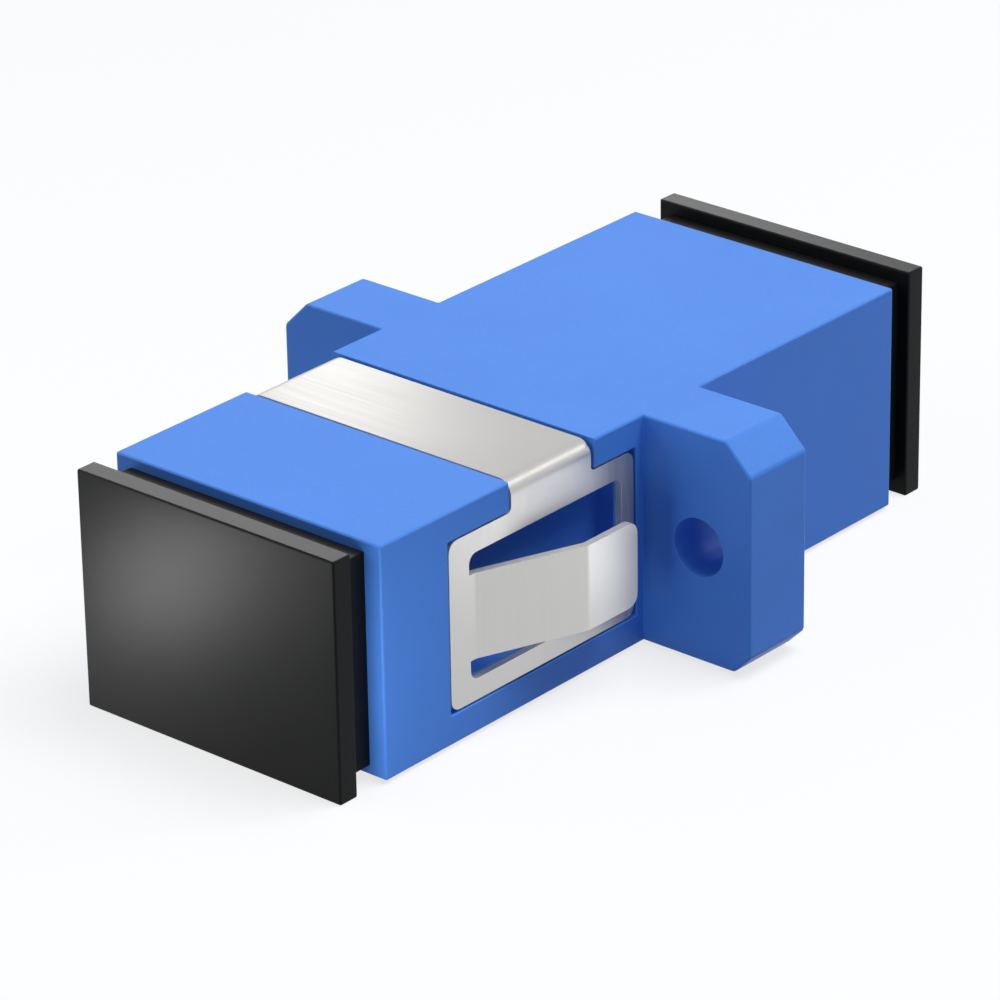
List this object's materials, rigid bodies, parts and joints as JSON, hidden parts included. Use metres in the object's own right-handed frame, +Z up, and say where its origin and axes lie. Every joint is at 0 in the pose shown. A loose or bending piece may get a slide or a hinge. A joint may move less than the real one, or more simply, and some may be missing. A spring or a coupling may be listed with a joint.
{
  "type": "sc simplex fibre adapter",
  "caption": "Flanged simplex adapter that joins SC fibre plugs end to end, with a spring clip for a panel cut-out and a dust cap in each port.",
  "frame": {"origin": "on the port axis, level with the front face of the flange, halfway between the two screw holes", "axes": "+Y along the ports from the clip side to the plain side, +X across the flange, +Z up to the face that the clip's strap crosses"},
  "size_m": [0.0228, 0.034, 0.0094],
  "materials": {
    "blue_pbt": "satin moulded",
    "spring_steel": "rolled",
    "insert_polymer": "matt moulded",
    "zirconia": "ground",
    "black_polyethylene": "soft satin moulded"
  },
  "bodies": {
    "adapter": {"housing": "blue_pbt", "panel_clip": "spring_steel", "latch_insert_front": "insert_polymer", "latch_insert_rear": "insert_polymer", "split_sleeve": "zirconia"},
    "front_cap": {"dust_cap_front": "black_polyethylene"},
    "rear_cap": {"dust_cap_rear": "black_polyethylene"}
  },
  "joints": [
    {"name": "front_cap_slide", "type": "slide", "parent": "adapter", "child": "front_cap", "axis": [0, -1, 0], "range_m": [0, 0.02]},
    {"name": "rear_cap_slide", "type": "slide", "parent": "adapter", "child": "rear_cap", "axis": [0, 1, 0], "range_m": [0, 0.02]}
  ]
}
